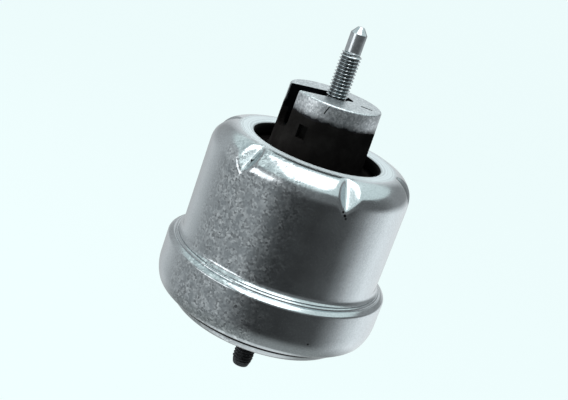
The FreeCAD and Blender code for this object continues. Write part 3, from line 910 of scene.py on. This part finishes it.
# %% Lamps
def softbox(name, place, width, length, watts):
    light = bpy.data.lights.new(name, "AREA")
    light.shape = "RECTANGLE"
    light.size, light.size_y = width, length
    light.energy = watts
    lamp = bpy.data.objects.new(name, light)
    bpy.context.scene.collection.objects.link(lamp)
    lamp.location = place
    lamp.rotation_mode = "QUATERNION"
    lamp.rotation_quaternion = (Vector((0, 0, AIM_HEIGHT)) - place).to_track_quat("-Z", "Y")
    return lamp


softbox("overhead", studio(side=0.0, depth=-0.06, height=0.52), width=0.36, length=0.6, watts=1.5)
softbox("left_front", studio(side=-0.24, depth=-0.20, height=0.11), width=0.28, length=0.1, watts=0.17)
left_side = softbox("left_side", studio(side=-0.6, depth=0.05, height=0.33), width=0.3, length=0.3,
                    watts=5)
left_side.visible_glossy = False

# %% [markdown]
# Bright metal shows what stands round it. A photographer sets such a product in a tent of pale screens,
# and so does this lesson: a round tent that only gloss sees. Its grey follows the azimuth, dark in front,
# grey at the left and white at the right, with one row of tones near the ground and one above. Its ground
# is bright close to the mount and greyer further out.

# %% Light tent
FLOOR_DROP = 0.10
FLOOR_LEVEL = FOOT - FLOOR_DROP / MM
TENT_R, TENT_TOP, TENT_LIFT, TENT_STEPS = 330, 270, 1, 48
LOW_TONES = [(-180, 0.4), (-130, 0.7), (-100, 0.45), (-36, 0.45), (-22, 0.2), (-6, 0.06), (22, 0.045),
             (58, 0.09), (74, 0.3), (90, 0.75), (112, 1.15), (150, 0.9), (180, 0.4)]
HIGH_TONES = [(-180, 0.9), (-165, 0.8), (-150, 0.4), (-110, 0.55), (-36, 0.5), (-16, 0.22), (90, 0.14),
              (118, 0.35), (150, 0.3), (166, 0.8), (180, 0.9)]
GREEN_SHARE, BLUE_SHARE = 1.04, 1.06
GROUND_NEAR, GROUND_FAR = (0.9, 0.94, 0.95), (0.34, 0.36, 0.36)
GROUND_FADE, GROUND_END, LOW_TO_HIGH = (50, 80), (130, 220), (0, 80)


def tones(tree, share, stops):
    """A grey that follows the azimuth, in degrees to the right of the camera."""
    ramp = tree.nodes.new("ShaderNodeValToRGB")
    tree.links.new(share, ramp.inputs["Fac"])
    points = ramp.color_ramp.elements
    while len(points) < len(stops):
        points.new(0.5)
    for point, (azimuth, value) in zip(points, stops):
        point.position = (azimuth + 180) / 360
        point.color = (value, value * GREEN_SHARE, value * BLUE_SHARE, 1)
    return ramp.outputs["Color"]


def tent_light():
    """The tent's glow: the ground by distance, the wall by azimuth, the two rows of tones by height."""
    material = bpy.data.materials.new("light_tent")
    material.use_nodes = True
    tree = material.node_tree
    tree.nodes.remove(tree.nodes["Principled BSDF"])
    place = tree.nodes.new("ShaderNodeTexCoord").outputs["Object"]
    side, depth, tall = axes(tree, place)
    azimuth = combined(tree, side, combined(tree, depth, -1.0), "ARCTAN2")
    share = levels(tree, azimuth, -math.pi, math.pi)
    away = from_axis(tree, place)
    ground = tint(tree, beyond(tree, away, *GROUND_FADE), GROUND_NEAR, GROUND_FAR)
    low = tint(tree, until(tree, away, *GROUND_END), tones(tree, share, LOW_TONES), ground)
    shown = tint(tree, beyond(tree, tall, *LOW_TO_HIGH), low, tones(tree, share, HIGH_TONES))
    glow = tree.nodes.new("ShaderNodeEmission")
    tree.links.new(shown, glow.inputs["Color"])
    tree.links.new(glow.outputs["Emission"], tree.nodes["Material Output"].inputs["Surface"])
    return material


tent_low = FLOOR_LEVEL + TENT_LIFT
tent_side = [Vector((0, tent_low)), Vector((TENT_R, tent_low)), Vector((TENT_R, TENT_TOP))]
tent = turned("light_tent", tent_side, TENT_STEPS)
tent.rotation_euler.z = math.radians(VIEW_ANGLE)
tent.data.materials.append(tent_light())
tent.visible_camera = tent.visible_diffuse = tent.visible_shadow = tent.visible_transmission = False

# %% [markdown]
# The floor and the background are one even pale tone. A lit floor would shade off, so to the camera, to
# gloss and to glass it glows with that tone, and only a small share of its lit surface stays, for a trace
# of shadow. To all other rays it is a plain pale floor that throws light up at the mount.

# %% Floor
PALE = (0.871, 1.0, 1.0)
FLOOR_SIZE, FLOOR_CUTS, GLOW_SHARE = 60, 3, 0.96

bpy.ops.object.select_all(action="DESELECT")
bpy.ops.mesh.primitive_plane_add(size=FLOOR_SIZE, location=(0, 0, 0))
floor = bpy.context.object
floor.name = "floor"
edit()
bpy.ops.mesh.subdivide(number_cuts=FLOOR_CUTS)
bpy.ops.transform.translate(value=(0, 0, FOOT * MM - FLOOR_DROP))
leave()


def seen_directly(tree):
    """1 for the camera's own rays and for what gloss or glass shows, 0 for the rest."""
    path = tree.nodes.new("ShaderNodeLightPath")
    total = path.outputs["Is Camera Ray"]
    for kind in ("Is Glossy Ray", "Is Transmission Ray"):
        total = combined(tree, total, path.outputs[kind], "MAXIMUM")
    return total


def two_faced(tree, share, lit, shown, output):
    """Shows the second shader by the share, and the first one for the rest."""
    blend = tree.nodes.new("ShaderNodeMixShader")
    tree.links.new(share, blend.inputs["Fac"])
    tree.links.new(lit, blend.inputs[1])
    tree.links.new(shown, blend.inputs[2])
    tree.links.new(blend.outputs["Shader"], tree.nodes[output].inputs["Surface"])


material, tree, shader = finish("floor", PALE, metallic=0.0, roughness=1.0)[:3]
shader.inputs["Specular IOR Level"].default_value = 0.0
glow = tree.nodes.new("ShaderNodeEmission")
glow.inputs["Color"].default_value = (*PALE, 1)
share = levels(tree, seen_directly(tree), 0.0, 1.0, 0.0, GLOW_SHARE)
two_faced(tree, share, shader.outputs["BSDF"], glow.outputs["Emission"], "Material Output")
floor.data.materials.append(material)

# %% [markdown]
# The world does the same: it is the pale tone where it is seen, and a faint cool light for everything
# else. The Standard view transform keeps the tones as they are set.

# %% World and view
WORLD_LIGHT, WORLD_STRENGTH = (0.95, 0.98, 1.0), 0.2

world = bpy.data.worlds.new("studio")
bpy.context.scene.world = world
world.use_nodes = True
tree = world.node_tree
light = tree.nodes["Background"]
light.inputs["Color"].default_value = (*WORLD_LIGHT, 1)
light.inputs["Strength"].default_value = WORLD_STRENGTH
backdrop = tree.nodes.new("ShaderNodeBackground")
backdrop.inputs["Color"].default_value = (*PALE, 1)
two_faced(tree, seen_directly(tree), light.outputs["Background"], backdrop.outputs["Background"],
          "World Output")
bpy.context.scene.view_settings.view_transform = "Standard"
